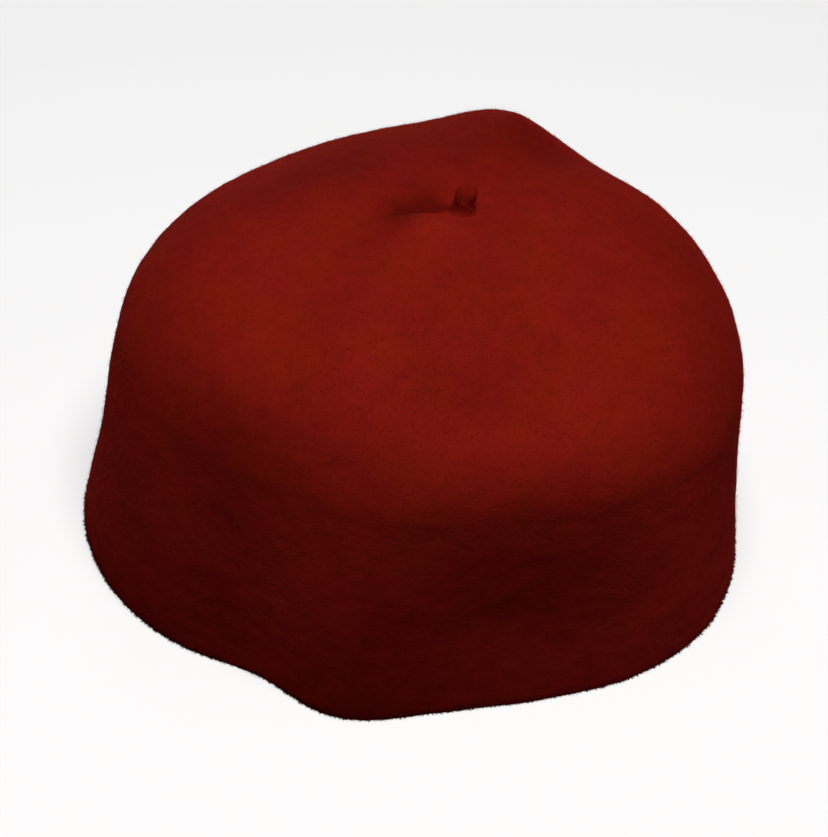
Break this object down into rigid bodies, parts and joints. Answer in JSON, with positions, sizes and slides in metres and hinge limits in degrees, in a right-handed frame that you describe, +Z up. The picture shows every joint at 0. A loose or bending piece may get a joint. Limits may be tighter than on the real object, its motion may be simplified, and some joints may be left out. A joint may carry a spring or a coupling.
{
  "type": "felt chief cap",
  "caption": "Brimless round cap of thick red wool felt, open below for the head, with soft storage creases and a short felted stalk at the crown.",
  "frame": {"origin": "on the surface that the cap stands on, under the middle of its box", "axes": "+Z up from the rim to the crown; -Y is the side that faces the picture's camera; +X is the picture's right"},
  "size_m": [0.194, 0.1932, 0.1091],
  "materials": {
    "red_felt": "thick fulled wool felt, matt, with a short fuzz",
    "stalk_felt": "felted wool yarn, matt, a little darker than the cap"
  },
  "bodies": {
    "root": {"felt_cap": "red_felt", "stalk": "stalk_felt"}
  },
  "joints": []
}
